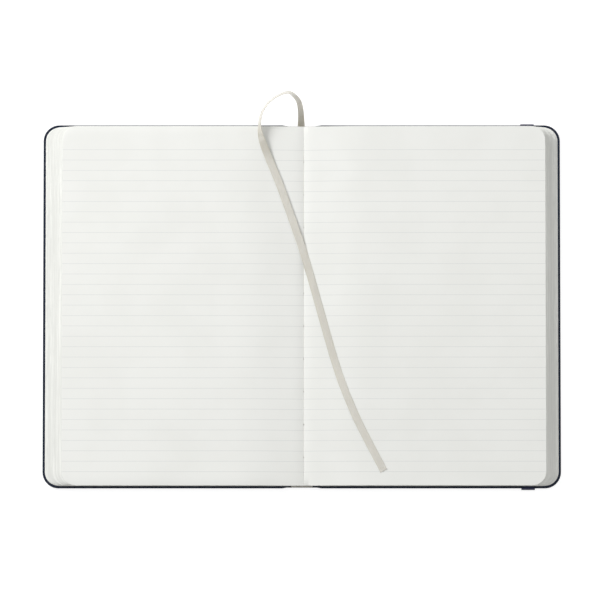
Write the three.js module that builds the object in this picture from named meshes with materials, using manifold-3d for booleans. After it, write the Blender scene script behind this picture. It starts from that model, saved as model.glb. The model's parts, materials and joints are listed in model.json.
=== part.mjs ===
// Hard-cover ruled notebook (pilot's logbook size), lying open flat at its middle.
// Millimetres, +Z up, +X towards the back cover, +Y towards the head.
// The back cover is on the right, the front cover on the left, the spine between them.
import * as THREE from 'three';
import { mergeVertices } from 'three/addons/utils/BufferGeometryUtils.js';
import Module from 'manifold-3d';

const wasm = await Module();
wasm.setup();

// --- Case: two boards and a spine strip wrapped in one leatherette skin ---
const CASE_FLOOR = 0.8; // the elastic lies under the covers and carries them
const SKIN = 0.4;
const BOARD = 1.6;
const TURN_IN = 0.25; // skin folded over onto the board's inner face
const PASTEDOWN = 0.15;
const COVER_INNER = 8; // board edge beside the spine, and the folding line's x
const COVER_OUTER = 150;
const COVER_HALF_HEIGHT = 105.7;
const COVER_RADIUS = 9.25;
const TURN_IN_WIDTH = 14;
const PASTEDOWN_MARGIN = 1.4;
const PASTEDOWN_INNER_GAP = 0.6;
const PASTEDOWN_FIT = 0.2;

// --- Spine ---
const SPINE_HALF_WIDTH = 7.6;
const SPINE_END_INSET = 0.45; // its ends stand a little inside the covers' ends
const STRIP_HALF_WIDTH = 7.2;
const STRIP = 0.3;
const SPINE_LIP = 0.15;
const SPINE_LIP_LENGTH = 12;
const LINING = 0.25;
const LINING_HALF_WIDTH = 6.8;
const LINING_END_GAP = 0.5;
const BAND_HALF_WIDTH = 6.2;
const BAND_RADIUS = 0.4;
const BAND_GAP = 0.05; // between the bead and the pages' ends
const BAND_TONGUE = 0.12;
const BAND_TONGUE_LENGTH = 8;
const BAND_SIDES = 12;

// --- Text block: seven sewn signatures, the middle one open at its fold ---
const PAGE_HALF_HEIGHT = 104.3;
const PAGE_RADIUS = 8;
const PAGE_WIDTH = 140;
const HALF_SIGNATURE_WIDTH = 139.6;
const FLYLEAF_FLOOR = 3.25;
const FLYLEAF = 0.12;
const FLYLEAF_INNER = 8.1;
const FLYLEAF_WIDTH = 139.8;
const GUTTER_X = 1.2; // the opening is not quite in the middle of the spine
const LEVELS = [
  { floor: 3.42, top: 5.22 },
  { floor: 5.3, top: 7.1 },
  { floor: 7.18, top: 8.98 },
];
const HALF_LEVEL = { floor: 9.06, top: 9.84 };
const FRONT_FOLDS_X = [-8.02, -4.6, -1.6]; // folded edges, lowest signature first
const BACK_FOLDS_X = [8.02, 5.3, 2.9];
const FRONT_HALF_FOLD_X = 0.75;
const BACK_HALF_FOLD_X = 1.65;
const SLOT = 0.16; // between the two halves of a folded signature
const SLOT_EYE = 0.5; // the wider end of the slot, where the thread runs
const SLOT_EYE_LENGTH = 0.9;
const FOLD_SEGMENTS = 6;
const LEAF_FLOOR = 9.88;
const LEAF = 0.1;
const LEAF_INNER_GAP = 0.15;

// --- Sewing thread ---
const THREAD = 0.34;
const THREAD_FROM_FOLD = 0.9;
const THREAD_HALF_LENGTH = 90;
const THREAD_MIDDLE_GAP = 4;
const SAGS = [0, 1.1, 2]; // how far the folds hang into the gutter, lowest first
const GUTTER_DEPTH = 2.9;
const STITCH_OFFSET = 0.2;

// --- Elastic closure ---
const ELASTIC_X = 131;
const ELASTIC_WIDTH = 7.8;
const ELASTIC = 0.8;
const ELASTIC_TAB = 0.4;
const ELASTIC_TAB_LENGTH = 13;
const ELASTIC_CHAMFER = 0.35;
const NOTCH_SIDE_GAP = 0.15;

// --- Ribbon marker: centreline points x, y, z and the tilt of its width in degrees ---
const RIBBON_WIDTH = 4.4;
const RIBBON = 0.25;
const RIBBON_UPPER = [
  [0.2, 95, 2.0, 0],
  [0.0, 101, 2.3, 0],
  [-0.3, 105.3, 4.0, 26],
  [-0.4, 109.8, 7.0, 45],
  [-0.8, 114.6, 11.0, 48],
  [-2.0, 118.7, 14.0, 50],
  [-5.0, 122.0, 16.0, 58],
  [-8.0, 123.3, 16.8, 68],
  [-12.6, 121.8, 17.1, 80],
  [-17.7, 118.7, 16.7, 85],
  [-21.7, 114.2, 15.3, 87],
  [-23.9, 109.2, 13.4, 86],
  [-24.4, 104.3, 12.3, 72],
  [-24.0, 100.2, 11.3, 30],
  [-22.9, 95.9, 10.14, 0],
  [-20.2, 88.6, 10.14, 0],
  [-16.7, 80.0, 10.14, 0],
  [-12.2, 68.9, 10.14, 0],
  [-7.4, 55.5, 10.14, 0],
  [-3.0, 43.0, 10.14, 0],
  [1.2, 30.6, 10.14, 0],
];
const RIBBON_LOWER = [
  [1.3, 30.3, 10.14, 0],
  [4.8, 18.3, 10.14, 0],
  [8.8, 4.1, 10.14, 0],
  [13.4, -12.5, 10.14, 0],
  [18.4, -30.0, 10.14, 0],
  [24.2, -47.5, 10.14, 0],
  [31.7, -65.5, 10.14, 0],
  [39.7, -81.5, 10.14, 0],
  [47.4, -96.1, 10.14, 0],
];

const CORNER_SEGMENTS = 8;
const FRONT = -1;
const BACK = 1;

const BOARD_FLOOR = CASE_FLOOR + SKIN;
const BOARD_TOP = BOARD_FLOOR + BOARD;
const TURN_IN_TOP = BOARD_TOP + TURN_IN;
const PASTEDOWN_TOP = TURN_IN_TOP + PASTEDOWN;
const STRIP_TOP = BOARD_FLOOR + STRIP;
const ELASTIC_FROM = ELASTIC_X - ELASTIC_WIDTH / 2;
const ELASTIC_TO = ELASTIC_X + ELASTIC_WIDTH / 2;

const finish = (name, color, roughness) =>
  new THREE.MeshStandardMaterial({ name, color, roughness, metalness: 0 });
const NAVY = finish('leatherette', 0x202a3c, 0.6);
const GREYBOARD = finish('greyboard', 0x8d8a82, 0.9);
const PAPER = finish('paper', 0xeeefe9, 0.9);
const ENDPAPER = finish('endpaper', 0xe9e8e2, 0.85);
const MULL = finish('mull', 0xd8d3c4, 0.95);
const BAND_CLOTH = finish('band_cloth', 0xe6e3d9, 0.8);
const ELASTIC_WEAVE = finish('elastic_weave', 0x1a1f45, 0.8);
const RIBBON_SATIN = finish('ribbon_satin', 0xd6d2c4, 0.5);
const THREAD_LINEN = finish('linen_thread', 0xdfdcd0, 0.8);

/** Outline of a cover or leaf: square at the spine, rounded at the fore edge. */
function outline(side, inner, outer, halfHeight, radius) {
  const points = [[side * inner, -halfHeight]];
  for (let i = 0; i <= CORNER_SEGMENTS; i += 1) {
    const a = (Math.PI / 2) * (i / CORNER_SEGMENTS) - Math.PI / 2;
    const x = outer - radius + radius * Math.cos(a);
    points.push([side * x, -halfHeight + radius + radius * Math.sin(a)]);
  }
  for (let i = 0; i <= CORNER_SEGMENTS; i += 1) {
    const a = (Math.PI / 2) * (i / CORNER_SEGMENTS);
    const x = outer - radius + radius * Math.cos(a);
    points.push([side * x, halfHeight - radius + radius * Math.sin(a)]);
  }
  points.push([side * inner, halfHeight]);
  return points;
}

function rectangle(x0, x1, y0, y1) {
  return [[x0, y0], [x1, y0], [x1, y1], [x0, y1]];
}

function extrude(points, depth) {
  const shape = new THREE.Shape(points.map(([x, y]) => new THREE.Vector2(x, y)));
  return new THREE.ExtrudeGeometry(shape, { depth, bevelEnabled: false, steps: 1 });
}

/** A flat sheet with the given outline in plan. */
function sheet(points, floor, top) {
  return extrude(points, top - floor).translate(0, 0, floor);
}

/** A bar along Y whose section is drawn in x and z. */
function barAlongY(section, y0, y1) {
  return extrude(section, y1 - y0).rotateX(Math.PI / 2).translate(0, y1, 0);
}

/** A bar along X whose section is drawn in y and z. */
function barAlongX(section, x0, x1) {
  return extrude(section, x1 - x0)
    .rotateX(Math.PI / 2)
    .rotateZ(Math.PI / 2)
    .translate(x0, 0, 0);
}

function toSolid(geometry) {
  const bare = geometry.clone();
  bare.deleteAttribute('normal');
  bare.deleteAttribute('uv');
  const merged = mergeVertices(bare, 1e-5);
  return new wasm.Manifold(new wasm.Mesh({
    numProp: 3,
    vertProperties: new Float32Array(merged.attributes.position.array),
    triVerts: new Uint32Array(merged.index.array),
  }));
}

function toGeometry(solid) {
  const mesh = solid.getMesh();
  const geometry = new THREE.BufferGeometry();
  geometry.setAttribute('position', new THREE.BufferAttribute(mesh.vertProperties, 3));
  geometry.setIndex(new THREE.BufferAttribute(mesh.triVerts, 1));
  const faceted = geometry.toNonIndexed();
  faceted.computeVertexNormals();
  return faceted;
}

function join(...geometries) {
  return toGeometry(geometries.map(toSolid).reduce((a, b) => a.add(b)));
}

function cut(geometry, ...tools) {
  return toGeometry(tools.map(toSolid).reduce((a, b) => a.subtract(b), toSolid(geometry)));
}

function overlapOf(a, b) {
  return toGeometry(toSolid(a).intersect(toSolid(b)));
}

function piece(name, geometry, material) {
  const mesh = new THREE.Mesh(geometry, material);
  mesh.name = name;
  return mesh;
}

function group(name, pieces) {
  const made = new THREE.Group();
  made.name = name;
  made.add(...pieces);
  return made;
}

/** The seats pressed into the back board and its turn-in for the elastic's glued ends. */
function elasticSeats() {
  const seat = (end) => {
    const y = [end * (COVER_HALF_HEIGHT - ELASTIC_TAB_LENGTH), end * (COVER_HALF_HEIGHT + 1)];
    const plan = rectangle(
      ELASTIC_FROM - NOTCH_SIDE_GAP,
      ELASTIC_TO + NOTCH_SIDE_GAP,
      Math.min(...y),
      Math.max(...y),
    );
    return sheet(plan, TURN_IN_TOP - ELASTIC_TAB, TURN_IN_TOP + 1);
  };
  return [seat(1), seat(-1)];
}

function boardOutline(side) {
  return outline(
    side,
    COVER_INNER,
    COVER_OUTER - SKIN,
    COVER_HALF_HEIGHT - SKIN,
    COVER_RADIUS - SKIN,
  );
}

/** Leatherette on the outer face, round three edges and turned in onto the inner face. */
function coverSkin(side, seats) {
  const whole = sheet(
    outline(side, COVER_INNER, COVER_OUTER, COVER_HALF_HEIGHT, COVER_RADIUS),
    CASE_FLOOR,
    TURN_IN_TOP,
  );
  const boardSpace = sheet(
    outline(
      side,
      COVER_INNER - 1,
      COVER_OUTER - SKIN,
      COVER_HALF_HEIGHT - SKIN,
      COVER_RADIUS - SKIN,
    ),
    BOARD_FLOOR,
    BOARD_TOP,
  );
  const window = sheet(
    outline(
      side,
      COVER_INNER - 1,
      COVER_OUTER - TURN_IN_WIDTH,
      COVER_HALF_HEIGHT - TURN_IN_WIDTH,
      1,
    ),
    BOARD_TOP - SKIN,
    TURN_IN_TOP + 1,
  );
  return cut(whole, boardSpace, window, ...seats);
}

function coverBoard(side, seats) {
  const board = sheet(boardOutline(side), BOARD_FLOOR, BOARD_TOP);
  return seats.length ? cut(board, ...seats) : board;
}

/** Endpaper glued over the turn-ins; it fills the field that they leave on the board. */
function pastedown(side) {
  const face = sheet(
    outline(
      side,
      COVER_INNER + PASTEDOWN_INNER_GAP,
      COVER_OUTER - PASTEDOWN_MARGIN,
      COVER_HALF_HEIGHT - PASTEDOWN_MARGIN,
      PAGE_RADIUS,
    ),
    TURN_IN_TOP,
    PASTEDOWN_TOP,
  );
  const field = sheet(
    outline(
      side,
      COVER_INNER + PASTEDOWN_INNER_GAP,
      COVER_OUTER - TURN_IN_WIDTH - PASTEDOWN_FIT,
      COVER_HALF_HEIGHT - TURN_IN_WIDTH - PASTEDOWN_FIT,
      1,
    ),
    BOARD_TOP,
    PASTEDOWN_TOP,
  );
  return join(face, field);
}

function coverPieces(side, prefix) {
  const seats = side === BACK ? elasticSeats() : [];
  const flyleaf = outline(
    side,
    FLYLEAF_INNER,
    FLYLEAF_INNER + FLYLEAF_WIDTH,
    PAGE_HALF_HEIGHT,
    PAGE_RADIUS,
  );
  return [
    piece(`${prefix}_skin`, coverSkin(side, seats), NAVY),
    piece(`${prefix}_board`, coverBoard(side, seats), GREYBOARD),
    piece(`${prefix}_pastedown`, pastedown(side), ENDPAPER),
    piece(
      `${prefix}_flyleaf`,
      sheet(flyleaf, FLYLEAF_FLOOR, FLYLEAF_FLOOR + FLYLEAF),
      ENDPAPER,
    ),
  ];
}

/** Spine skin with its two ends turned in over the strip. */
function spineSkin() {
  const halfLength = COVER_HALF_HEIGHT - SPINE_END_INSET;
  const top = STRIP_TOP + SPINE_LIP;
  const plan = rectangle(-SPINE_HALF_WIDTH, SPINE_HALF_WIDTH, -halfLength, halfLength);
  const stripLength = halfLength - SKIN;
  const wide = SPINE_HALF_WIDTH + 1;
  const stripSpace = sheet(
    rectangle(-wide, wide, -stripLength, stripLength),
    BOARD_FLOOR,
    STRIP_TOP,
  );
  const lipEnd = stripLength - SPINE_LIP_LENGTH;
  const window = sheet(
    rectangle(-wide, wide, -lipEnd, lipEnd),
    STRIP_TOP - SPINE_LIP,
    top + 1,
  );
  return cut(sheet(plan, CASE_FLOOR, top), stripSpace, window);
}

/** A rolled bead of cloth beside the pages' ends, with a tongue glued to the spine. */
function endBand(end) {
  const floor = STRIP_TOP + SPINE_LIP;
  const centreY = PAGE_HALF_HEIGHT + BAND_RADIUS + BAND_GAP;
  const centreZ = floor + BAND_RADIUS;
  const bead = [];
  for (let i = 0; i < BAND_SIDES; i += 1) {
    const a = (2 * Math.PI * (i + 0.5)) / BAND_SIDES;
    bead.push([end * (centreY + BAND_RADIUS * Math.cos(a)), centreZ + BAND_RADIUS * Math.sin(a)]);
  }
  const tongueY = [end * (centreY - BAND_TONGUE_LENGTH), end * centreY];
  const tongue = rectangle(
    Math.min(...tongueY),
    Math.max(...tongueY),
    floor,
    floor + BAND_TONGUE,
  );
  return join(
    barAlongX(bead, -BAND_HALF_WIDTH, BAND_HALF_WIDTH),
    barAlongX(tongue, -BAND_HALF_WIDTH, BAND_HALF_WIDTH),
  );
}

function spinePieces() {
  const stripLength = COVER_HALF_HEIGHT - SPINE_END_INSET - SKIN;
  const liningLength = stripLength - SPINE_LIP_LENGTH - LINING_END_GAP;
  const strip = rectangle(-STRIP_HALF_WIDTH, STRIP_HALF_WIDTH, -stripLength, stripLength);
  const lining = rectangle(-LINING_HALF_WIDTH, LINING_HALF_WIDTH, -liningLength, liningLength);
  return [
    piece('spine_skin', spineSkin(), NAVY),
    piece('spine_strip', sheet(strip, BOARD_FLOOR, STRIP_TOP), GREYBOARD),
    piece('spine_lining', sheet(lining, STRIP_TOP, STRIP_TOP + LINING), MULL),
    piece('head_band', endBand(1), BAND_CLOTH),
    piece('tail_band', endBand(-1), BAND_CLOTH),
  ];
}

/** Section through a folded bunch of sheets: round at the fold, open at the fore edge. */
function signatureSection(side, fold, width, { floor, top }, folded) {
  const radius = (top - floor) / 2;
  const middle = (top + floor) / 2;
  const points = [];
  for (let i = 0; i <= 2 * FOLD_SEGMENTS; i += 1) {
    const a = Math.PI / 2 + (Math.PI * i) / (2 * FOLD_SEGMENTS);
    points.push([radius + radius * Math.cos(a), middle + radius * Math.sin(a)]);
  }
  points.push([width, floor]);
  if (folded) {
    const eyeFrom = THREAD_FROM_FOLD - SLOT_EYE_LENGTH / 2;
    const eyeTo = eyeFrom + SLOT_EYE_LENGTH;
    points.push([width, middle - SLOT / 2]);
    points.push([eyeTo, middle - SLOT / 2]);
    points.push([eyeTo - SLOT_EYE / 2, middle - SLOT_EYE / 2]);
    points.push([eyeFrom, middle - SLOT_EYE / 2]);
    points.push([eyeFrom, middle + SLOT_EYE / 2]);
    points.push([eyeTo - SLOT_EYE / 2, middle + SLOT_EYE / 2]);
    points.push([eyeTo, middle + SLOT / 2]);
    points.push([width, middle + SLOT / 2]);
  }
  points.push([width, top]);
  return points.map(([x, z]) => [fold + side * x, z]);
}

function signature(side, fold, width, level, folded) {
  const section = signatureSection(side, fold, width, level, folded);
  const along = barAlongY(section, -PAGE_HALF_HEIGHT - 1, PAGE_HALF_HEIGHT + 1);
  const plan = outline(
    side,
    side * fold - 1,
    side * fold + width,
    PAGE_HALF_HEIGHT,
    PAGE_RADIUS,
  );
  return overlapOf(along, sheet(plan, level.floor - 1, level.top + 1));
}

function threadBar(x, z, y0, y1) {
  const h = THREAD / 2;
  return barAlongY(rectangle(x - h, x + h, z - h, z + h), y0, y1);
}

function textBlock() {
  const pieces = [];
  const addSide = (side, folds, numberOf) => {
    folds.forEach((fold, i) => {
      const level = LEVELS[i];
      const number = String(numberOf(i)).padStart(2, '0');
      const middle = (level.floor + level.top) / 2;
      pieces.push(piece(
        `signature_${number}`,
        signature(side, fold, PAGE_WIDTH, level, true),
        PAPER,
      ));
      pieces.push(piece(
        `thread_${number}`,
        threadBar(
          fold + side * THREAD_FROM_FOLD,
          middle - SAGS[i],
          -THREAD_HALF_LENGTH,
          THREAD_HALF_LENGTH,
        ),
        THREAD_LINEN,
      ));
    });
  };
  addSide(FRONT, FRONT_FOLDS_X, (i) => 1 + i);
  addSide(BACK, BACK_FOLDS_X, (i) => 7 - i);
  const half = (side, fold) => signature(side, fold, HALF_SIGNATURE_WIDTH, HALF_LEVEL, false);
  pieces.push(piece('signature_04_front', half(FRONT, FRONT_HALF_FOLD_X), PAPER));
  pieces.push(piece('signature_04_back', half(BACK, BACK_HALF_FOLD_X), PAPER));
  const stitchZ = HALF_LEVEL.top - GUTTER_DEPTH + THREAD / 2;
  pieces.push(piece(
    'thread_04_head',
    threadBar(GUTTER_X - STITCH_OFFSET, stitchZ, THREAD_MIDDLE_GAP, THREAD_HALF_LENGTH),
    THREAD_LINEN,
  ));
  pieces.push(piece(
    'thread_04_tail',
    threadBar(GUTTER_X + STITCH_OFFSET, stitchZ, -THREAD_HALF_LENGTH, -THREAD_MIDDLE_GAP),
    THREAD_LINEN,
  ));
  const leafInner = GUTTER_X + LEAF_INNER_GAP;
  const leaf = outline(
    BACK,
    leafInner,
    BACK_HALF_FOLD_X + HALF_SIGNATURE_WIDTH,
    PAGE_HALF_HEIGHT,
    PAGE_RADIUS,
  );
  pieces.push(piece('right_leaf', sheet(leaf, LEAF_FLOOR, LEAF_FLOOR + LEAF), PAPER));
  return pieces;
}

/** The band's end: round the cover's edge and in under the pastedown. */
function elasticWrap(end) {
  const edge = COVER_HALF_HEIGHT;
  const outer = edge + ELASTIC;
  const section = [
    [edge, 0],
    [outer - ELASTIC_CHAMFER, 0],
    [outer, ELASTIC_CHAMFER],
    [outer, TURN_IN_TOP - ELASTIC_CHAMFER],
    [outer - ELASTIC_CHAMFER, TURN_IN_TOP],
    [edge - ELASTIC_TAB_LENGTH, TURN_IN_TOP],
    [edge - ELASTIC_TAB_LENGTH, TURN_IN_TOP - ELASTIC_TAB],
    [edge, TURN_IN_TOP - ELASTIC_TAB],
  ];
  return barAlongX(section.map(([y, z]) => [end * y, z]), ELASTIC_FROM, ELASTIC_TO);
}

function elasticPieces() {
  const run = rectangle(ELASTIC_FROM, ELASTIC_TO, -COVER_HALF_HEIGHT, COVER_HALF_HEIGHT);
  return [
    piece('elastic_run', sheet(run, 0, ELASTIC), ELASTIC_WEAVE),
    piece('elastic_head_wrap', elasticWrap(1), ELASTIC_WEAVE),
    piece('elastic_tail_wrap', elasticWrap(-1), ELASTIC_WEAVE),
  ];
}

/** A flat ribbon along its centreline; each cross-section is turned by the point's tilt. */
function ribbon(points) {
  const centres = points.map(([x, y, z]) => new THREE.Vector3(x, y, z));
  const up = new THREE.Vector3(0, 0, 1);
  const positions = [];
  centres.forEach((centre, i) => {
    const before = centres[Math.max(i - 1, 0)];
    const after = centres[Math.min(i + 1, centres.length - 1)];
    const along = after.clone().sub(before).normalize();
    const across = along.clone().cross(up).normalize();
    across.applyAxisAngle(along, THREE.MathUtils.degToRad(points[i][3]));
    const normal = across.clone().cross(along).normalize();
    for (const [a, b] of [[-1, -1], [1, -1], [1, 1], [-1, 1]]) {
      const corner = centre.clone()
        .addScaledVector(across, (a * RIBBON_WIDTH) / 2)
        .addScaledVector(normal, (b * RIBBON) / 2);
      positions.push(corner.x, corner.y, corner.z);
    }
  });
  const index = [];
  for (let i = 0; i + 1 < centres.length; i += 1) {
    for (let k = 0; k < 4; k += 1) {
      const a = 4 * i + k;
      const b = 4 * i + ((k + 1) % 4);
      // both faces of the ribbon are split along the same diagonal, so a twist stays thin
      index.push(...(k === 2 ? [a, a + 4, b + 4, a, b + 4, b] : [a, a + 4, b, b, a + 4, b + 4]));
    }
  }
  const last = 4 * (centres.length - 1);
  index.push(0, 1, 2, 0, 2, 3, last, last + 2, last + 1, last, last + 3, last + 2);
  const geometry = new THREE.BufferGeometry();
  geometry.setAttribute('position', new THREE.Float32BufferAttribute(positions, 3));
  geometry.setIndex(index);
  const faceted = geometry.toNonIndexed();
  faceted.computeVertexNormals();
  return faceted;
}

const book = group('ruled_notebook', [
  group('front_cover', coverPieces(FRONT, 'front')),
  group('back_cover', coverPieces(BACK, 'back')),
  group('spine', spinePieces()),
  group('text_block', textBlock()),
  group('elastic_closure', elasticPieces()),
  group('ribbon_marker', [
    piece('ribbon_upper', ribbon(RIBBON_UPPER), RIBBON_SATIN),
    piece('ribbon_lower', ribbon(RIBBON_LOWER), RIBBON_SATIN),
  ]),
]);

export default book;
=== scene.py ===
"""Looks of a hard-cover ruled notebook lying open flat, seen from above.

Metres, in the row frame: +X towards the back cover, +Y towards the head, +Z up.
The book's floor, page block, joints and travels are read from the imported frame.
"""

import json
import math

import bpy
import numpy as np
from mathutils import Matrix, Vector


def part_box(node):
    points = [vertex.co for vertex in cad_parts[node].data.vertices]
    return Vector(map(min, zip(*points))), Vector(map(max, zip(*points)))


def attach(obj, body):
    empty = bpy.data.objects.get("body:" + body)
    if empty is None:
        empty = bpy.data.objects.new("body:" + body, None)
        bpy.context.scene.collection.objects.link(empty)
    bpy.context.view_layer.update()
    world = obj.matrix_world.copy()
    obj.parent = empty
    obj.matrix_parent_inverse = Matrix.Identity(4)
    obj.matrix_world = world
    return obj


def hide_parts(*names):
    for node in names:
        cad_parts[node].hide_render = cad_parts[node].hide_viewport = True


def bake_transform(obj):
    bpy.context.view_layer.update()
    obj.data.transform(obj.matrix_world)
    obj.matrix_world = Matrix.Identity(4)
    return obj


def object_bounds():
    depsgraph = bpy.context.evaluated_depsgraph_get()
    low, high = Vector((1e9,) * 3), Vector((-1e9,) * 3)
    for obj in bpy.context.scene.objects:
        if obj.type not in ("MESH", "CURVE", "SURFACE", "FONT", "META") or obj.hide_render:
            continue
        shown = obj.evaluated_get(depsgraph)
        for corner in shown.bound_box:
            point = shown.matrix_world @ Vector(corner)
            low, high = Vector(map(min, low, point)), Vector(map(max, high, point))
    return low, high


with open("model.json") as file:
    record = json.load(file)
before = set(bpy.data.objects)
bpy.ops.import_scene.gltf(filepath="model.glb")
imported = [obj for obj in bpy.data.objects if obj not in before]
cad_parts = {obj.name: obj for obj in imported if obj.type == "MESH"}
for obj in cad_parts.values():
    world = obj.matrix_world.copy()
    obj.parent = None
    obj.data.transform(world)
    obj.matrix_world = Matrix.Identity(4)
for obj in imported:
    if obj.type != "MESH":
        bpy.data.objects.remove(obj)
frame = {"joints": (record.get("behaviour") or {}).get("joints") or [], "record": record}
CAD_LOW, CAD_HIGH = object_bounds()

MM = 0.001
FRONT, BACK = -1, 1
SIDE_NAMES = {FRONT: "front", BACK: "back"}
rng = np.random.default_rng(7)


def low(node):
    return np.array(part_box(node)[0])


def high(node):
    return np.array(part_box(node)[1])


# ---------------------------------------------------------------- camera
CAMERA_TARGET = Vector((-1.0 * MM, 3.75 * MM, 2.0 * MM))
CAMERA_DISTANCE = 4.0
CAMERA_TILT = math.radians(5.5)
FRAME_WIDTH = 0.348  # width of the view at the book

camera_data = bpy.data.cameras.new("camera")
camera_data.sensor_width = 36
camera_data.lens = 36 * CAMERA_DISTANCE / FRAME_WIDTH
camera = bpy.data.objects.new("camera", camera_data)
bpy.context.scene.collection.objects.link(camera)
look_from = Vector((0, -math.sin(CAMERA_TILT), math.cos(CAMERA_TILT)))
camera.location = CAMERA_TARGET + look_from * CAMERA_DISTANCE
camera.rotation_mode = "QUATERNION"
camera.rotation_quaternion = (-look_from).to_track_quat("-Z", "Y")
bpy.context.scene.camera = camera
bpy.context.scene.view_settings.view_transform = "Standard"


# ---------------------------------------------------------------- sizes from the frame
JOINTS = {j["name"]: j for j in frame["joints"]}
COUPLINGS = frame["record"]["behaviour"]["couplings"]
CLOSING = {c["joint"]: c["ratio"] * math.pi / 2 for c in COUPLINGS}

GUTTER_X = JOINTS["leaf_turn"]["pos_m"][0]
HINGE_X = JOINTS["back_hinge"]["pos_m"][0]
FOLD_LEVER = abs(JOINTS["back_fold_4_bend"]["pos_m"][0] - GUTTER_X)
GUTTER_SLOPE = CLOSING["back_fold_4_bend"]

COVER_OUTER = high("back_skin")[0]
COVER_HALF = high("back_skin")[1]
COVER_FLOOR = low("back_skin")[2]
COVER_TOP = high("back_skin")[2]
COVER_RADIUS = 9.25 * MM
SPINE_TOP = high("spine_skin")[2]
SPINE_HALF_LENGTH = high("spine_skin")[1]

PAGE_FRINGE = 0.2 * MM  # the loosest leaves reach this far past the pressed block
PAGE_HALF = high("right_leaf")[1] + PAGE_FRINGE
PAGE_RADIUS = 8 * MM
BLOCK_FLOOR = low("signature_01")[2]
BLOCK_TOP = high("signature_04_back")[2]
LEAF_FLOOR = low("right_leaf")[2]
LEAF_TOP = high("right_leaf")[2]

# where a page leaves the flat and where it is fully tilted into the gutter
DIP_FROM = 48 * MM
DIP_TO = 10 * MM
LIP_DEPTH = 0.8 * MM  # the last steep fall of the page into its fold
LIP_REACH = 3.2 * MM
COCKLE = 0.05 * MM  # slow waves that paper takes up
COCKLE_WAVES = (19 * MM, 15 * MM)  # their reach across and along the page
COCKLE_SLANTED = (11 * MM, 23 * MM)  # and of a weaker wave that runs aslant

RULE_FIRST = 90.6 * MM
RULE_PITCH = 6.038 * MM
RULE_COUNT = 32
RULE_WIDTH = 0.30 * MM

STITCH_PITCH = 19.1 * MM
STITCH_FIRST = -88.2 * MM
STITCH_COUNT = 10
STITCHES = STITCH_FIRST + STITCH_PITCH * np.arange(STITCH_COUNT)

LEVELS = {
    FRONT: ["signature_01", "signature_02", "signature_03", "signature_04_front"],
    BACK: ["signature_07", "signature_06", "signature_05", "signature_04_back"],
}


def fold_body(side, level):
    name = SIDE_NAMES[side]
    return f"{name}_cover" if level == 0 else f"{name}_fold_{level + 1}"


# ---------------------------------------------------------------- shape of the open pages
def smooth(t):
    t = np.clip(t, 0, 1)
    return t * t * (3 - 2 * t)


def dip(x):
    """How far the top page hangs below flat at x."""
    d = np.abs(x - GUTTER_X)
    share = smooth((DIP_FROM - d) / (DIP_FROM - DIP_TO))
    return share * math.sin(GUTTER_SLOPE) * (FOLD_LEVER - d) + LIP_DEPTH * np.exp(-d / LIP_REACH)


def cockle(x, y):
    """Slow waves across the page, gone beside the gutter."""
    d = np.abs(x - GUTTER_X)
    wave = np.sin(x / COCKLE_WAVES[0] + 1.2) * np.sin(y / COCKLE_WAVES[1] + 0.4)
    wave += 0.6 * np.sin(x / COCKLE_SLANTED[0] - y / COCKLE_SLANTED[1])
    edge = 0.5 + np.clip(np.abs(y) / PAGE_HALF, 0, 1) ** 4
    return COCKLE * wave * edge * smooth((d - 6 * MM) / (40 * MM))


def settle(points):
    """Moves flat points of the page block down into the open book's shape."""
    x, y, z = points.T
    share = (z - BLOCK_FLOOR) / (BLOCK_TOP - BLOCK_FLOOR)
    return np.stack([x, y, z - share * (dip(x) - cockle(x, y))], axis=1)


def page_top(x, y, z=LEAF_TOP):
    points = np.stack([x, y, np.full_like(x, z)], axis=1)
    return settle(points)[:, 2]


# ---------------------------------------------------------------- mesh making
def make_object(name, points, faces, rest=None, kinds=None, sharp=40, uv=None):
    mesh = bpy.data.meshes.new(name)
    mesh.from_pydata([tuple(p) for p in points], [], [tuple(f) for f in faces])
    rest = points if rest is None else rest
    attribute = mesh.attributes.new("rest_co", "FLOAT_VECTOR", "POINT")
    attribute.data.foreach_set("vector", np.asarray(rest, np.float32).ravel())
    if kinds is not None:
        mesh.polygons.foreach_set("material_index", np.asarray(kinds, np.int32))
    if uv is not None:
        layer = mesh.uv_layers.new(name="UVMap")
        corners = np.zeros(len(mesh.loops), np.int32)
        mesh.loops.foreach_get("vertex_index", corners)
        layer.data.foreach_set("uv", np.asarray(uv, np.float32)[corners].ravel())
    mesh.update()
    mesh.shade_smooth()
    mesh.set_sharp_from_angle(angle=math.radians(sharp))
    made = bpy.data.objects.new(name, mesh)
    bpy.context.scene.collection.objects.link(made)
    return made


def finish_piece(made, materials, slot, *nodes):
    for m in materials:
        made.data.materials.append(m)
    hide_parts(*nodes)
    return made


CORNER_STEPS = 9
COLUMN_GAP = 1 * MM  # no column lies closer than this to the inner edge or the corner


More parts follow.
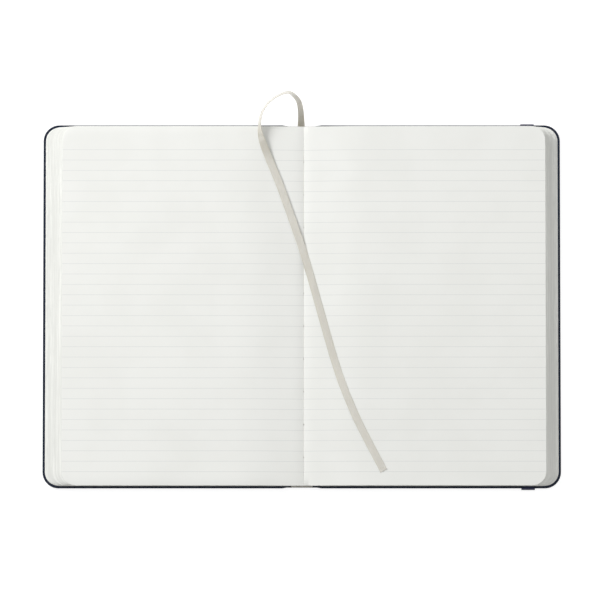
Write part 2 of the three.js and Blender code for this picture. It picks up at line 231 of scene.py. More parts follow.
def slab(name, side, plan, rings, columns, rows, place):
    """A flat stack with a square inner edge and two rounded fore-edge corners.

    plan: inner and outer distance from the spine's middle, half height, corner radius.
    rings: (z, edge inset, inner inset) from the floor up. columns: distances between them.
    rows: shares of the half height. place: moves the flat points to the shape at rest.
    Faces have kind 1 round the edge and kind 0 above and below.
    """
    inner, outer, half, radius = plan
    spots = [c for c in columns if inner + COLUMN_GAP < c < outer - radius - COLUMN_GAP]
    straight = np.array([inner, *spots, outer - radius])
    turn = np.linspace(0, math.pi / 2, CORNER_STEPS + 1)[1:]
    n_col, n_row = len(straight) + CORNER_STEPS, len(rows)

    def grid(inset, inner_inset):
        u = np.concatenate([straight, outer - radius + (radius - inset) * np.sin(turn)])
        u[0] = inner + inner_inset
        height = half - radius + (radius - inset) * np.cos(turn)
        h = np.concatenate([np.full(len(straight), half - inset), height])
        return np.stack([np.repeat(u, n_row), (h[:, None] * rows[None, :]).ravel()], axis=1)

    def at(c, r):
        return c * n_row + r

    rim = [at(c, 0) for c in range(n_col)]
    rim += [at(n_col - 1, r) for r in range(1, n_row)]
    rim += [at(c, n_row - 1) for c in range(n_col - 2, -1, -1)]
    rim += [at(0, r) for r in range(n_row - 2, 0, -1)]
    loops, layers, count = [], [], 0
    for k, (z, inset, inner_inset) in enumerate(rings):
        flat = grid(inset, inner_inset)
        whole = k in (0, len(rings) - 1)
        ring = flat if whole else flat[rim]
        layers.append(np.column_stack([side * ring[:, 0], ring[:, 1], np.full(len(ring), z)]))
        loops.append([count + i for i in (rim if whole else range(len(rim)))])
        count += len(ring)
    rest = np.concatenate(layers)
    faces, kinds = [], []
    top = count - n_col * n_row
    for c in range(n_col - 1):
        for r in range(n_row - 1):
            quad = [at(c, r), at(c + 1, r), at(c + 1, r + 1), at(c, r + 1)]
            faces += [quad[::-1], [top + q for q in quad]]
            kinds += [0, 0]
    for below, above in zip(loops, loops[1:]):
        for i in range(len(rim)):
            j = (i + 1) % len(rim)
            faces.append([below[i], below[j], above[j], above[i]])
            kinds.append(1)
    if side == FRONT:
        faces = [f[::-1] for f in faces]
    return make_object(name, place(rest), faces, rest, kinds)


LEAF_SHARE = 0.96  # of the height between two leaves, the rest is the gap between them


def leaf_rings(floor, top, layers, spread, inner_of):
    """Edge rings of a stack of leaves, each leaf's edge a little in or out of the last."""
    rings = []
    pitch = (top - floor) / layers
    for i in range(layers):
        inset = spread * rng.random()
        z = floor + i * pitch
        rings.append((z, inset, inner_of(z)))
        leaf_top = z + LEAF_SHARE * pitch
        rings.append((leaf_top, inset, inner_of(leaf_top)))
    rings.append((top, inset + 0.2 * spread, inner_of(top)))
    return rings


def steps(*spans):
    """Numbers from several (from, to, step) spans."""
    return np.unique(np.concatenate([np.arange(a, b, s) for a, b, s in spans]).round(6))


PAGE_COLUMNS = steps(
    (0, 7 * MM, 0.5 * MM), (7 * MM, 14 * MM, 1 * MM),
    (14 * MM, 52 * MM, 2.5 * MM), (52 * MM, 150 * MM, 6 * MM),
)
SHORT_ROWS = np.sin(np.linspace(-math.pi / 2, math.pi / 2, 33))
STITCH_ROW_OFFSETS = (-1.1, -0.5, 0, 0.5, 1.1)  # mm, the rows that shape the notch at a stitch
stitch_rows = [(y + s * MM) / PAGE_HALF for y in STITCHES for s in STITCH_ROW_OFFSETS]
PAGE_ROWS = np.unique(np.concatenate([np.linspace(-1, 1, 41), stitch_rows]).round(5))
PAGE_ROWS = PAGE_ROWS[np.abs(PAGE_ROWS) <= 1]


# ---------------------------------------------------------------- materials
class Paint:
    """A material with a few short ways to add nodes."""

    def __init__(self, name, color, roughness):
        self.material = bpy.data.materials.new(name)
        self.material.use_nodes = True
        self.tree = self.material.node_tree
        self.shader = self.tree.nodes["Principled BSDF"]
        self.shader.inputs["Base Color"].default_value = (*color, 1)
        self.shader.inputs["Roughness"].default_value = roughness
        self.material.diffuse_color = (*color, 1)

    def node(self, kind, inputs=(), **settings):
        made = self.tree.nodes.new(kind)
        for key, value in settings.items():
            setattr(made, key, value)
        for key, value in dict(inputs).items():
            self.put(made.inputs[key], value)
        return made

    def put(self, socket, value):
        if isinstance(value, bpy.types.NodeSocket):
            self.tree.links.new(value, socket)
        else:
            socket.default_value = value

    def math(self, operation, a, b=0.0, c=0.0):
        made = self.node("ShaderNodeMath", operation=operation)
        for socket, value in zip(made.inputs, (a, b, c)):
            self.put(socket, value)
        return made.outputs[0]

    def rest(self):
        return self.node("ShaderNodeAttribute", attribute_name="rest_co").outputs["Vector"]

    def split(self, vector):
        made = self.node("ShaderNodeSeparateXYZ", {"Vector": vector})
        return made.outputs["X"], made.outputs["Y"], made.outputs["Z"]

    def stretched(self, vector, scale):
        made = self.node("ShaderNodeMapping", {"Vector": vector, "Scale": scale})
        return made.outputs["Vector"]

    def noise(self, vector, scale, detail=3.0, roughness=0.5):
        made = self.node(
            "ShaderNodeTexNoise",
            {"Vector": vector, "Scale": scale, "Detail": detail, "Roughness": roughness},
        )
        return made.outputs["Fac"]

    def mix(self, share, a, b):
        made = self.node("ShaderNodeMix", data_type="RGBA")
        self.put(made.inputs["Factor"], share)
        colours = [s for s in made.inputs if s.type == "RGBA"]
        for socket, value in zip(colours, (a, b)):
            self.put(socket, value if isinstance(value, bpy.types.NodeSocket) else (*value, 1))
        return [s for s in made.outputs if s.type == "RGBA"][0]

    def color(self, socket):
        self.put(self.shader.inputs["Base Color"], socket)

    def bump(self, height, distance, strength=1.0):
        made = self.node(
            "ShaderNodeBump", {"Height": height, "Distance": distance, "Strength": strength}
        )
        self.put(self.shader.inputs["Normal"], made.outputs["Normal"])

    def ramp(self, value, low_in, high_in, low_out=0.0, high_out=1.0):
        made = self.node(
            "ShaderNodeMapRange",
            {"Value": value, "From Min": low_in, "From Max": high_in,
             "To Min": low_out, "To Max": high_out},
            interpolation_type="SMOOTHSTEP",
        )
        return made.outputs["Result"]


PAPER = (0.815, 0.82, 0.79)
PAPER_SHADE = (0.795, 0.80, 0.768)
RULE = (0.68, 0.69, 0.675)
# darkest tone of the cut edges: painted shade of the gaps between the leaves, with some uneven
# tone
EDGE_GAP_SHADE = (0.70, 0.705, 0.675)
EDGE_LIGHT = (0.835, 0.84, 0.81)
NAVY = (0.007, 0.012, 0.028)
NAVY_WORN = (0.011, 0.018, 0.038)


def paper_surface(paint, ruled):
    rest = paint.rest()
    fibres = paint.noise(rest, 2600, 4.0, 0.65)
    clouds = paint.noise(rest, 35, 3.0)
    tone = paint.mix(paint.ramp(clouds, 0.35, 0.7), PAPER, PAPER_SHADE)
    if ruled:
        y = paint.split(rest)[1]
        line = paint.math("DIVIDE", paint.math("SUBTRACT", RULE_FIRST, y), RULE_PITCH)
        nearest = paint.math("ROUND", line)
        away = paint.math("ABSOLUTE", paint.math("SUBTRACT", line, nearest))
        half = RULE_WIDTH / RULE_PITCH / 2
        ink = paint.ramp(away, half * 1.15, half * 0.85)
        from_first = paint.math("GREATER_THAN", line, -0.5)
        to_last = paint.math("LESS_THAN", line, RULE_COUNT - 0.5)
        printed = paint.math("MULTIPLY", paint.math("MULTIPLY", ink, from_first), to_last)
        uneven = paint.ramp(paint.noise(rest, 900, 2.0), 0.3, 0.7, 0.75, 1.0)
        tone = paint.mix(paint.math("MULTIPLY", printed, uneven), tone, RULE)
    paint.color(tone)
    paint.bump(fibres, 0.02 * MM, 0.5)


def paper_faces(name, ruled):
    paint = Paint(name, PAPER, 0.92)
    paint.shader.inputs["Specular IOR Level"].default_value = 0.2
    paper_surface(paint, ruled)
    return paint.material


def paper_edges(name):
    """The cut edges of stacked leaves: fine lines one above the other, whose darker tone is
    painted shade of the gaps between the leaves, mixed with uneven tone.
    """
    paint = Paint(name, PAPER, 0.95)
    paint.shader.inputs["Specular IOR Level"].default_value = 0.15
    rest = paint.rest()
    lines = paint.noise(paint.stretched(rest, (40, 40, 9000)), 1.0, 3.0, 0.7)
    bunches = paint.noise(paint.stretched(rest, (9, 9, 1600)), 1.0, 2.0)
    # where the lines run dark the edge takes painted shade of the gaps between the leaves
    shade = paint.math("MULTIPLY", paint.ramp(lines, 0.35, 0.65), paint.ramp(bunches, 0.3, 0.7))
    paint.color(paint.mix(shade, EDGE_GAP_SHADE, EDGE_LIGHT))
    paint.bump(lines, 0.05 * MM, 0.8)
    return paint.material


def leatherette():
    paint = Paint("navy_leatherette", NAVY, 0.62)
    paint.shader.inputs["Specular IOR Level"].default_value = 0.2
    rest = paint.rest()
    pebbles = paint.node(
        "ShaderNodeTexVoronoi", {"Vector": rest, "Scale": 1500.0, "Randomness": 1.0},
        feature="SMOOTH_F1",
    ).outputs["Distance"]
    creases = paint.noise(rest, 620, 4.0, 0.6)
    height = paint.math("ADD", pebbles, paint.math("MULTIPLY", creases, 0.8))
    worn = paint.ramp(paint.noise(rest, 60, 4.0), 0.45, 0.75, 0.0, 0.6)
    paint.color(paint.mix(worn, NAVY, NAVY_WORN))
    rough = paint.ramp(creases, 0.3, 0.7, 0.55, 0.72)
    paint.put(paint.shader.inputs["Roughness"], rough)
    paint.bump(height, 0.12 * MM, 0.7)
    return paint.material


def woven(name, dark, light, pitch, roughness, sheen=0.0, uv=True):
    """Plain weave from crossed threads, drawn from the piece's own UV in metres."""
    paint = Paint(name, light, roughness)
    paint.shader.inputs["Sheen Weight"].default_value = sheen
    paint.shader.inputs["Specular IOR Level"].default_value = 0.3
    if uv:
        vector = paint.node("ShaderNodeUVMap", uv_map="UVMap").outputs["UV"]
    else:
        vector = paint.rest()
    across, along, _ = paint.split(vector)
    turns = 2 * math.pi / pitch
    warp = paint.math("SINE", paint.math("MULTIPLY", across, turns))
    weft = paint.math("SINE", paint.math("MULTIPLY", along, turns))
    checks = paint.math("MULTIPLY", warp, weft)
    height = paint.math("ADD", checks, paint.math("MULTIPLY", paint.noise(vector, 3000, 2.0), 0.8))
    share = paint.ramp(height, -0.6, 1.2)
    paint.color(paint.mix(share, dark, light))
    paint.bump(height, 0.03 * MM, 0.8)
    return paint.material


def satin():
    """Narrow satin ribbon: fine warp floats along it, a firmer selvedge at each side."""
    paint = Paint("greige_satin", (0.50, 0.47, 0.395), 0.38)
    paint.shader.inputs["Specular IOR Level"].default_value = 1.0
    paint.shader.inputs["Anisotropic"].default_value = 0.5
    paint.shader.inputs["Sheen Weight"].default_value = 0.4
    paint.shader.inputs["Subsurface Weight"].default_value = 0.6  # light shows through it
    paint.shader.inputs["Subsurface Radius"].default_value = (1.0, 0.95, 0.85)
    paint.shader.inputs["Subsurface Scale"].default_value = 0.5 * MM
    vector = paint.node("ShaderNodeUVMap", uv_map="UVMap").outputs["UV"]
    across, along, _ = paint.split(vector)
    floats = paint.noise(paint.stretched(vector, (9000, 260, 1)), 1.0, 2.0)
    ribs = paint.math("SINE", paint.math("MULTIPLY", along, 2 * math.pi / (0.42 * MM)))
    height = paint.math("ADD", floats, paint.math("MULTIPLY", ribs, 0.14))
    selvedge = paint.ramp(paint.math("ABSOLUTE", across), 1.75 * MM, 2.05 * MM)
    tone = paint.mix(paint.ramp(height, 0.3, 0.75), (0.50, 0.48, 0.42), (0.60, 0.578, 0.51))
    paint.color(paint.mix(paint.math("MULTIPLY", selvedge, 0.5), tone, (0.46, 0.44, 0.385)))
    paint.bump(height, 0.03 * MM, 0.8)
    return paint.material


RULED = paper_faces("ruled_paper", ruled=True)
BLANK = paper_faces("blank_endpaper", ruled=False)
EDGES = paper_edges("page_edges")
LEATHERETTE = leatherette()
SATIN = satin()
ELASTIC = woven("navy_elastic", (0.006, 0.007, 0.028), (0.020, 0.024, 0.085), 0.55 * MM, 0.8, 0.3)
BAND_CLOTH = woven("band_cloth", (0.62, 0.60, 0.54), (0.80, 0.78, 0.72), 0.35 * MM, 0.85, 0.2)
MULL = woven("mull_cloth", (0.42, 0.39, 0.31), (0.68, 0.64, 0.55), 0.9 * MM, 0.95, uv=False)
THREAD = woven("linen_thread", (0.50, 0.48, 0.42), (0.74, 0.72, 0.65), 0.30 * MM, 0.8, 0.2)


# ---------------------------------------------------------------- swept strips
def sweep(name, sections, uv):
    """A tube with closed ends through the sections, each one a closed loop of points."""
    n, m = len(sections), len(sections[0])
    points = np.concatenate(sections)
    faces = []
    for i in range(n - 1):
        for k in range(m):
            j = (k + 1) % m
            faces.append([i * m + k, i * m + j, (i + 1) * m + j, (i + 1) * m + k])
    faces += [list(range(m))[::-1], [(n - 1) * m + k for k in range(m)]]
    return make_object(name, points, faces, uv=uv)


def distances(points):
    """Distance along the run from its first point to each point."""
    return np.concatenate([[0], np.cumsum(np.linalg.norm(np.diff(points, axis=0), axis=1))])


def unit(vectors):
    return vectors / np.linalg.norm(vectors, axis=1)[:, None]


def curve_through(points, spacing):
    """Evenly spaced points on a smooth curve through the given ones; extra columns ride along."""
    p = np.asarray(points, float)
    ends = np.vstack([2 * p[0] - p[1], p, 2 * p[-1] - p[-2]])
    fine = []
    for i in range(1, len(ends) - 2):
        a, b, c, d = ends[i - 1 : i + 3]
        t = np.linspace(0, 1, 24, endpoint=False)[:, None]
        fine.append(
            0.5 * (2 * b + (c - a) * t + (2 * a - 5 * b + 4 * c - d) * t**2
                   + (3 * b - a - 3 * c + d) * t**3)
        )
    fine = np.vstack([*fine, p[-1:]])
    length = distances(fine[:, :3])
    count = max(2, int(round(length[-1] / spacing)) + 1)
    wanted = np.linspace(0, length[-1], count)
    return np.stack([np.interp(wanted, length, fine[:, k]) for k in range(p.shape[1])], axis=1)


# ---------------------------------------------------------------- ribbon marker
RIBBON_WIDTH = 4.4 * MM
RIBBON = 0.25 * MM
RIBBON_REST = 0.03 * MM  # gap to the page below it
# x, y, z in mm and the tilt of the ribbon's width in degrees
RIBBON_LOOP = [
    (0.2, 95.0, 2.0, 0), (0.0, 101.0, 2.3, 0), (-0.3, 105.3, 4.0, 20), (-0.4, 109.8, 7.0, 37),
    (-0.8, 114.6, 11.0, 42), (-2.0, 118.7, 14.0, 47), (-5.0, 122.0, 16.0, 56),
    (-8.0, 123.3, 16.8, 64), (-12.6, 121.8, 17.1, 69), (-17.7, 118.7, 16.7, 70),
    (-21.7, 114.2, 15.3, 70), (-23.9, 109.2, 13.4, 70), (-24.4, 104.3, 12.3, 67),
    (-24.0, 100.2, 11.3, 52), (-22.9, 95.9, 10.14, 27), (-20.2, 88.6, 10.14, 8),
    (-16.7, 80.0, 10.14, 0), (-12.2, 68.9, 10.14, 0), (-7.4, 55.5, 10.14, 0),
    (-3.0, 43.0, 10.14, 0), (1.2, 30.6, 10.14, 0),
]
RIBBON_TAIL = [
    (1.2, 30.6, 10.14, 0), (4.8, 18.3, 10.14, 0), (8.8, 4.1, 10.14, 0),
    (13.4, -12.5, 10.14, 0), (18.4, -30.0, 10.14, 0), (24.2, -47.5, 10.14, 0),
    (31.7, -65.5, 10.14, 0), (39.7, -81.5, 10.14, 0), (47.4, -96.1, 10.14, 0),
]
RIBBON_SPACING = 1.5  # mm between the points of its curve
LANDS_AT = 97 * MM  # below this y the ribbon lies on the page
LANDING_POINTS = 5  # it comes down onto the page over this many points


def ribbon_frames(route):
    """Centres, width directions and face directions of the ribbon along its whole route."""
    whole = curve_through(route, RIBBON_SPACING)
    centres, tilt = whole[:, :3] * MM, np.radians(whole[:, 3])
    flat = unit(np.cross(np.gradient(centres, axis=0), (0, 0, 1)))
    arrived = len(centres) - np.argmax(centres[::-1, 1] > LANDS_AT)
    lying = np.arange(len(centres)) >= arrived
    reach = np.linspace(-0.5, 0.5, 9) * RIBBON_WIDTH
    under = np.stack([
        page_top(centres[:, 0] + r * flat[:, 0], centres[:, 1] + r * flat[:, 1]) for r in reach
    ]).max(axis=0)
    height = under + RIBBON / 2 + RIBBON_REST + RIBBON_WIDTH / 2 * np.sin(tilt)
    for _ in range(4):
        height[1:-1] = np.maximum(height[1:-1], (height[:-2] + 2 * height[1:-1] + height[2:]) / 4)
    land = smooth((np.arange(len(centres)) - arrived) / LANDING_POINTS)
    centres[:, 2] = np.where(lying, height * land + centres[:, 2] * (1 - land), centres[:, 2])
    centres[:, 2] = np.where(lying, np.maximum(centres[:, 2], height), centres[:, 2])
    along = unit(np.gradient(centres, axis=0))
    across = unit(np.cross(along, (0, 0, 1)))
    normal = np.cross(across, along)
    c, s = np.cos(tilt)[:, None], np.sin(tilt)[:, None]
    return centres, across * c + normal * -s, normal * c + across * s


# places of the section's points, as shares of the width and of the thickness
RIBBON_SECTION = [
    (-0.5, 0), (-0.485, -0.5), (-0.40, -0.42), (0.40, -0.42), (0.485, -0.5),
    (0.5, 0), (0.485, 0.5), (0.40, 0.42), (-0.40, 0.42), (-0.485, 0.5),
]


def ribbon_piece(name, centres, across, normal):
    sections, uv = [], []
    travelled = distances(centres)
    for centre, a, n, s in zip(centres, across, normal, travelled):
        sections.append(np.array([
            centre + a * w * RIBBON_WIDTH + n * t * RIBBON for w, t in RIBBON_SECTION
        ]))
        uv += [(w * RIBBON_WIDTH, s) for w, _ in RIBBON_SECTION]
    return sweep(name, sections, uv)


joined = RIBBON_LOOP + RIBBON_TAIL[1:]
centres, across, normal = ribbon_frames(joined)
past_loop = (centres[:, 1] < RIBBON_LOOP[-1][1] * MM) & (centres[:, 0] > 0)
CROSSING = int(np.argmax(past_loop))
upper = slice(0, CROSSING + 1)
lower = slice(CROSSING, len(centres))
ribbon_loop = ribbon_piece("ribbon_loop", centres[upper], across[upper], normal[upper])
ribbon_tail = ribbon_piece("ribbon_tail", centres[lower], across[lower], normal[lower])
finish_piece(ribbon_loop, [SATIN], "ribbon_satin", "ribbon_upper")
finish_piece(ribbon_tail, [SATIN], "ribbon_satin", "ribbon_lower")
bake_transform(ribbon_loop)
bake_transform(ribbon_tail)


# ---------------------------------------------------------------- page block
def half_thickness_round(floor, top):
    """Inner inset of a folded bunch, round at its fold."""
    radius, middle = (top - floor) / 2, (top + floor) / 2

    def inner(z):
        return radius - math.sqrt(max(radius**2 - (z - middle) ** 2, 0))

    return inner


def lean(side, level, floor, top):
    """Each leaf lies a little further in than the one below it, so the fore edge is a stair."""
    travel = CLOSING[f"{SIDE_NAMES[side]}_slide_{level + 2}"]

    def place(points):
        height = (points[:, 2] - floor) / (top - floor)
        layer = np.floor(height * LEAVES_PER_BUNCH + ROUNDING_ROOM)
        share = smooth((np.minimum(layer, LEAVES_PER_BUNCH - 1) + 0.5) / LEAVES_PER_BUNCH)
        moved = points.copy()
        moved[:, 0] -= side * travel * share
        return settle(moved)

    return place


GUTTER_PIECE_REACH = 43 * MM
OUTER_PIECE_FROM = 39 * MM
LEAVES_PER_BUNCH = 12
LEAVES_PER_OPEN_HALF = 5
ROUNDING_ROOM = 0.01  # keeps a leaf's floor in its own layer
EDGE_SPREAD = 0.13 * MM
FOLD_OVERHANG = 0.03 * MM  # the fold piece stands this far past the leaves it is part of
FOLD_CORNER = 0.5 * MM


def extent(side, node):
    """Inner and outer distance of a node from the spine's middle, its floor and its top."""
    lo, hi = low(node), high(node)
    inner, outer = (lo[0], hi[0]) if side == BACK else (-hi[0], -lo[0])
    return inner, outer, lo[2], hi[2]


def make_bunch(side, level):
    node = LEVELS[side][level]
    inner, outer, floor, top = extent(side, node)
    plan = (inner, outer, PAGE_HALF, PAGE_RADIUS)
    round_fold = half_thickness_round(floor, top)
    rings = leaf_rings(floor, top, LEAVES_PER_BUNCH, EDGE_SPREAD, round_fold)
    leaves_plan, leaves_rings = plan, rings
    if level > 0:  # the part beside the gutter is a piece of its own
        leaves_plan = (OUTER_PIECE_FROM, *plan[1:])
        leaves_rings = [(z, inset, 0) for z, inset, _ in rings]
    made = slab(node + "_leaves", side, leaves_plan, leaves_rings, PAGE_COLUMNS, SHORT_ROWS,
                lean(side, level, floor, top))
    finish_piece(made, [RULED, EDGES], "paper", node)
    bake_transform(made)
    if level == 0:
        return
    fold_plan = (inner, GUTTER_PIECE_REACH, PAGE_HALF + FOLD_OVERHANG, FOLD_CORNER)
    made = slab(node + "_fold", side, fold_plan, rings, PAGE_COLUMNS, SHORT_ROWS, settle)
    finish_piece(made, [RULED, EDGES], "paper", node)
    blend_fold(made)


def blend_fold(made):
    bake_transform(made)


STITCH_NOTCH = 0.20 * MM
STITCH_NOTCH_REACH = 0.45 * MM
FOLD_EDGE_REACH = 0.25 * MM  # only the edge itself opens


def notched(points):
    """Opens the fold a little where the thread goes through it."""
    moved = points.copy()
    near = np.abs(moved[:, 0] - GUTTER_X) < FOLD_EDGE_REACH
    gap = np.zeros(len(moved))
    for y in STITCHES:
        gap += np.exp(-(((moved[:, 1] - y) / STITCH_NOTCH_REACH) ** 2))
    side = np.where(moved[:, 0] < GUTTER_X, -1, 1)
    moved[:, 0] += near * side * STITCH_NOTCH * gap
    return settle(moved)


FOLD_GAP = 0.015 * MM  # between the two pages at the bottom of the gutter
FOLD_BEVEL = 0.55  # how far each leaf down moves out of the gutter, per unit of depth


def make_open_half(side):
    node = LEVELS[side][3]
    _, outer, floor, top = extent(side, node)
    plan = (side * GUTTER_X + FOLD_GAP, outer, PAGE_HALF, PAGE_RADIUS)
    rings = leaf_rings(
        floor, top, LEAVES_PER_OPEN_HALF, EDGE_SPREAD, lambda z: FOLD_BEVEL * (top - z)
    )
    made = slab(node + "_leaves", side, plan, rings, PAGE_COLUMNS, PAGE_ROWS, notched)
    finish_piece(made, [RULED, EDGES], "paper", node)
    blend_fold(made)


for side in (FRONT, BACK):
    for level in range(3):
        make_bunch(side, level)
    make_open_half(side)

LEAF_SHORTER = 0.05 * MM  # than the leaves under it, at head and tail
LEAF_EDGE_ROUND = 0.03 * MM
leaf_plan = (GUTTER_X + FOLD_GAP, high("right_leaf")[0], PAGE_HALF - LEAF_SHORTER, PAGE_RADIUS)
leaf_edge = [
    (LEAF_FLOOR, LEAF_EDGE_ROUND, 0), ((LEAF_FLOOR + LEAF_TOP) / 2, 0, 0),
    (LEAF_TOP, LEAF_EDGE_ROUND, 0),
]
leaf = slab("right_leaf_sheet", BACK, leaf_plan, leaf_edge, PAGE_COLUMNS, PAGE_ROWS, notched)
finish_piece(leaf, [RULED, EDGES], "paper", "right_leaf")
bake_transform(leaf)


# ---------------------------------------------------------------- case
GROOVE_DEPTH = 0.3 * MM
GROOVE_HALF = 1.6 * MM
SPINE_ROUNDING = 0.7  # how much of the boards' edge rounding the thin spine's ends lose
PASTEDOWN_SINK = 0.02 * MM  # the glue line between the pastedown and the case


def wrap_case(side):
    """Thins the flat stack to the spine's thickness and presses the joint groove into it."""

    def place(points):
        x, y, z = points.T.copy()
        u = side * x
        board = smooth((u - (HINGE_X - 0.8 * MM)) / (1.6 * MM))
        share = (z - COVER_FLOOR) / (COVER_TOP - COVER_FLOOR)
        thickness = SPINE_TOP - COVER_FLOOR + board * (COVER_TOP - SPINE_TOP)
        groove = GROOVE_DEPTH * (1 - smooth(np.abs(u - HINGE_X) / GROOVE_HALF))
        z = COVER_FLOOR + share * thickness + groove * (1 - share)
        cover = smooth((u - HINGE_X) / (4 * MM))
        sharper = SPINE_ROUNDING * np.minimum(COVER_HALF - np.abs(y), 0.8 * MM) * y / COVER_HALF
        y = cover * y + (1 - cover) * (y * SPINE_HALF_LENGTH / COVER_HALF + sharper)
        return np.stack([x, y, z], axis=1)

    return place


CASE_RINGS = [  # height and edge inset in mm, from the outer face to the inner one
    (0.80, 0.60), (0.82, 0.36), (0.90, 0.17), (1.05, 0.05), (1.25, 0.0), (2.55, 0.0),
    (2.79, 0.04), (2.94, 0.14), (3.02, 0.28), (3.05, 0.45),
]
CASE_COLUMNS = steps(
    (2 * MM, 5 * MM, 1 * MM), (5 * MM, 12 * MM, 0.4 * MM), (12 * MM, 140 * MM, 8 * MM)
)

for side in (FRONT, BACK):
    name = SIDE_NAMES[side]
    rings = [(z * MM, inset * MM, 0) for z, inset in CASE_RINGS]
    plan = (0, COVER_OUTER, COVER_HALF, COVER_RADIUS)
    case = slab(f"case_{name}", side, plan, rings, CASE_COLUMNS, SHORT_ROWS, wrap_case(side))
    nodes = [f"{name}_skin", f"{name}_board"]
    if side == BACK:
        nodes += ["spine_skin", "spine_strip"]
    finish_piece(case, [LEATHERETTE, LEATHERETTE], "leatherette", *nodes)
    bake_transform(case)
    for part in ("pastedown", "flyleaf"):
        node = f"{name}_{part}"
        inner, outer, floor, top = extent(side, node)
        if part == "pastedown":
            floor = COVER_TOP - PASTEDOWN_SINK
        edge = [(floor, 0.02 * MM, 0), ((floor + top) / 2, 0, 0), (top, 0.05 * MM, 0)]
        plan = (inner, outer, high(node)[1], PAGE_RADIUS)
        made = slab(node + "_sheet", side, plan, edge, PAGE_COLUMNS, SHORT_ROWS, lambda p: p)
        finish_piece(made, [BLANK, EDGES], "endpaper", node)
        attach(made, f"{name}_cover")


# ---------------------------------------------------------------- spine lining and end bands
MULL_WARP = 0.5 * MM
MULL_WEFT = 0.8 * MM
MULL_RELIEF = 0.03 * MM
lo, hi = low("spine_lining"), high("spine_lining")
xs, ys = np.linspace(lo[0], hi[0], 29), np.linspace(lo[1], hi[1], 241)
grid_x, grid_y = np.meshgrid(xs, ys, indexing="ij")
weave = np.sin(grid_x / MULL_WARP * math.pi) * np.sin(grid_y / MULL_WEFT * math.pi)
faces_z = (hi[2] - MULL_RELIEF + MULL_RELIEF * weave, np.full_like(grid_x, lo[2]))
points = [np.stack([grid_x, grid_y, z], axis=-1).reshape(-1, 3) for z in faces_z]
nx, ny = len(xs), len(ys)
faces = []
for i in range(nx - 1):
    for j in range(ny - 1):
        quad = [i * ny + j, (i + 1) * ny + j, (i + 1) * ny + j + 1, i * ny + j + 1]
        faces += [quad, [nx * ny + q for q in quad[::-1]]]
border = [i * ny for i in range(nx)] + [(nx - 1) * ny + j for j in range(1, ny)]
border += [i * ny + ny - 1 for i in range(nx - 2, -1, -1)] + list(range(ny - 2, 0, -1))
for a, b in zip(border, border[1:] + border[:1]):
    faces.append([nx * ny + a, nx * ny + b, b, a])
lining = make_object("spine_mull", np.concatenate(points), faces)
finish_piece(lining, [MULL], "mull", "spine_lining")
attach(lining, "spine")

BAND_TURNS = 0.62 * MM  # pitch of the wrapped cord in the band's bead
BEAD_SIDES = 20
BEAD_CLEARANCE = 0.02 * MM
TONGUE_REACH = 8 * MM  # of the cloth that is glued to the spine
TONGUE_THICK = 0.12 * MM
TONGUE_STATIONS = 41
TONGUE_FRAY = 0.15 * MM
for end, node in ((1, "head_band"), (-1, "tail_band")):
    lo, hi = low(node), high(node)
    radius = (hi[2] - lo[2]) / 2 - BEAD_CLEARANCE
    bead_y = (hi[1] if end > 0 else lo[1]) - end * radius
    sections, uv = [], []
    for x in np.arange(lo[0], hi[0], BAND_TURNS / 6):
        from_end = min(x - lo[0], hi[0] - x)
        cap = math.sqrt(max(1 - (1 - min(from_end / radius, 1)) ** 2, 0.02))
        loop = []
        for k in range(BEAD_SIDES):
            a = 2 * math.pi * k / BEAD_SIDES
            ridge = 0.93 + 0.07 * abs(math.sin(math.pi * x / BAND_TURNS + a / 2))
            r = radius * ridge * cap
            loop.append((x, bead_y + end * r * math.cos(a), lo[2] + radius + r * math.sin(a)))
            uv.append((x, radius * a))
        sections.append(np.array(loop if end < 0 else loop[::-1]))
    band = sweep(f"{node}_bead", sections, uv)
    finish_piece(band, [BAND_CLOTH], "band_cloth", node)
    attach(band, "spine")
    z0, z1 = lo[2], lo[2] + TONGUE_THICK
    sections, uv = [], []
    for i, x in enumerate(np.linspace(lo[0], hi[0], TONGUE_STATIONS)):
        frayed = TONGUE_FRAY * math.sin(i * 2.4) * math.sin(i * 0.9)
        y0, y1 = sorted((bead_y - end * TONGUE_REACH + frayed, bead_y))
        sections.append(np.array([(x, y0, z0), (x, y1, z0), (x, y1, z1), (x, y0, z1)]))
        uv += [(x, y0), (x, y1), (x, y1), (x, y0)]
    tongue = sweep(f"{node}_tongue", sections, uv)
    finish_piece(tongue, [BAND_CLOTH], "band_cloth", node)
    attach(tongue, "spine")


# ---------------------------------------------------------------- sewing threads
THREAD_RADIUS = 0.15 * MM
THREAD_TWIST = 1.3 * MM
THREAD_SIDES = 8
THREAD_STEP = 0.35 * MM
THREAD_DIVE = 0.5 * MM  # depth and reach of the dip at each hole
THREAD_DIVE_REACH = 0.6 * MM


def thread_piece(node, body, x, height):
    """Two-ply thread along the fold; it dips into the fold at each hole."""
    y0, y1 = low(node)[1], high(node)[1]
    ys = np.arange(y0, y1, THREAD_STEP)
    dive = sum(np.exp(-(((ys - y) / THREAD_DIVE_REACH) ** 2)) for y in STITCHES)
    zs = height - THREAD_DIVE * dive
    sections, uv = [], []
    for y, z in zip(ys, zs):
        loop = []
        for k in range(THREAD_SIDES):
            a = 2 * math.pi * k / THREAD_SIDES
            r = THREAD_RADIUS * (0.88 + 0.12 * math.cos(2 * (a - 2 * math.pi * y / THREAD_TWIST)))
            loop.append((x + r * math.cos(a), y, z + r * math.sin(a)))
            uv.append((THREAD_RADIUS * a, y))
        sections.append(np.array(loop[::-1]))
    made = sweep(f"{node}_run", sections, uv)
    finish_piece(made, [THREAD], "linen_thread", node)
    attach(made, body)


for side in (FRONT, BACK):
    for level in range(3):
        node = LEVELS[side][level].replace("signature", "thread")
        x, _, z = (low(node) + high(node)) / 2
        thread_piece(node, fold_body(side, level), x, z)

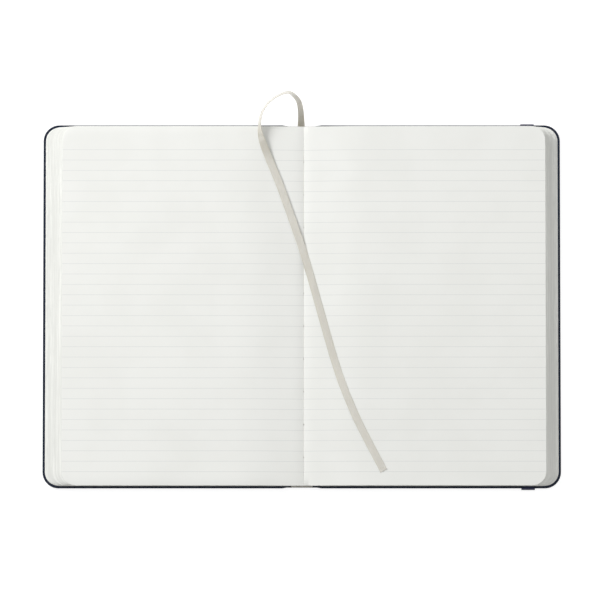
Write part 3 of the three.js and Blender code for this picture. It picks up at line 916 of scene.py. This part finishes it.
FOLD_BOTTOM = float(page_top(np.array([GUTTER_X]), np.array([0.0]))[0])
RUN_OFFSET = 0.05 * MM  # the two runs of the middle thread lie on either side of the fold
RUN_DEPTH = 0.12 * MM  # below the page at the bottom of the fold
for node, body, x in (
    ("thread_04_head", "front_fold_4", GUTTER_X - RUN_OFFSET),
    ("thread_04_tail", "back_fold_4", GUTTER_X + RUN_OFFSET),
):
    thread_piece(node, body, x, FOLD_BOTTOM - RUN_DEPTH)


# ---------------------------------------------------------------- elastic closure
lo, hi = low("elastic_run"), high("elastic_run")
wrap_lo, wrap_hi = low("elastic_head_wrap"), high("elastic_head_wrap")
ELASTIC_X = (lo[0] + hi[0]) / 2
ELASTIC_HALF = (hi[0] - lo[0]) / 2
ELASTIC_THICK = hi[2] - lo[2]
TAB_THICK = 0.4 * MM
RIBS = 7
RIB_DEPTH = 0.09  # share of the thickness
end_y, end_top = wrap_hi[1], wrap_hi[2]
tab_z = end_top - TAB_THICK / 2 + 0.01 * MM
edge_y = end_y - ELASTIC_THICK / 2
run_z, run_thick = ELASTIC_THICK / 2, ELASTIC_THICK - 0.02 * MM
half_route = [  # y, z, thickness, from the tab's glued end to the middle of the outer face
    (wrap_lo[1] + 0.3 * MM, tab_z - 0.05 * MM, 0.30 * MM),
    (end_y - 3.0 * MM, tab_z, TAB_THICK),
    (end_y - 1.1 * MM, tab_z, TAB_THICK),
    (edge_y - 0.20 * MM, end_top - 0.30 * MM, 0.5 * MM),
    (edge_y, end_top - 0.75 * MM, 0.7 * MM),
    (edge_y, 1.2 * MM, 0.78 * MM),
    (edge_y - 0.12 * MM, 0.72 * MM, 0.72 * MM),
    (edge_y - 0.55 * MM, 0.42 * MM, 0.76 * MM),
    (edge_y - 1.4 * MM, run_z, run_thick),
    (80 * MM, run_z, run_thick),
    (40 * MM, run_z, run_thick),
    (0, run_z, run_thick),
]
route = half_route + [(-y, z, t) for y, z, t in half_route[-2::-1]]
line = curve_through([(y, z, 0, t) for y, z, t in route], 1.0 * MM)
along = unit(np.gradient(line[:, :2], axis=0))
out = np.stack([-along[:, 1], along[:, 0]], axis=1)
shares = np.linspace(-1, 1, 4 * RIBS + 1)
sections, uv = [], []
travelled = distances(line[:, :2])
for (y, z, _, thick), (oy, oz), s in zip(line, out, travelled):
    loop = []
    for face in (1, -1):
        for w in shares if face > 0 else shares[::-1]:
            swell = (1 - abs(w) ** 8) * 0.5 + 0.5
            rib = 1 - RIB_DEPTH * (1 - math.cos(math.pi * RIBS * w)) / 2
            h = face * thick / 2 * swell * rib
            loop.append((ELASTIC_X + w * ELASTIC_HALF, y + oy * h, z + oz * h))
            uv.append((w * ELASTIC_HALF, s))
    sections.append(np.array(loop))
elastic = sweep("elastic_band", sections, uv)
finish_piece(
    elastic, [ELASTIC], "elastic_weave", "elastic_run", "elastic_head_wrap", "elastic_tail_wrap"
)
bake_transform(elastic)


# ---------------------------------------------------------------- floor and light
FLOOR_HALF = 3.0
FLOOR_GREY = (0.4, 0.4, 0.4)
FLOOR_GLOW = 0.80  # light of its own, which makes the ground white without a shadow
WORLD_STRENGTH = 0.24
CORNERS = ((-1, -1), (1, -1), (1, 1), (-1, 1))
floor = make_object(
    "floor",
    np.array([(FLOOR_HALF * x, FLOOR_HALF * y, CAD_LOW[2]) for x, y in CORNERS]),
    [(0, 1, 2, 3)],
)
floor_paint = Paint("floor_white", FLOOR_GREY, 0.9)
floor_paint.shader.inputs["Specular IOR Level"].default_value = 0.0
floor_paint.shader.inputs["Emission Color"].default_value = (1, 1, 1, 1)
floor_paint.shader.inputs["Emission Strength"].default_value = FLOOR_GLOW
floor.data.materials.append(floor_paint.material)

world = bpy.data.worlds.new("studio")
bpy.context.scene.world = world
world.use_nodes = True
background = world.node_tree.nodes["Background"]
background.inputs["Color"].default_value = (1, 1, 1, 1)
background.inputs["Strength"].default_value = WORLD_STRENGTH


def softbox(name, position, size, power):
    data = bpy.data.lights.new(name, "AREA")
    data.shape = "SQUARE"
    data.size = size
    data.energy = power
    lamp = bpy.data.objects.new(name, data)
    bpy.context.scene.collection.objects.link(lamp)
    lamp.location = position
    lamp.rotation_mode = "QUATERNION"
    lamp.rotation_quaternion = (-Vector(position)).to_track_quat("-Z", "Y")


softbox("key", (-1.2, 0.95, 1.15), 0.7, 31)
softbox("fill", (1.6, 0.2, 0.4), 0.9, 5)
softbox("top", (0.3, 0.3, 4.6), 1.6, 57)
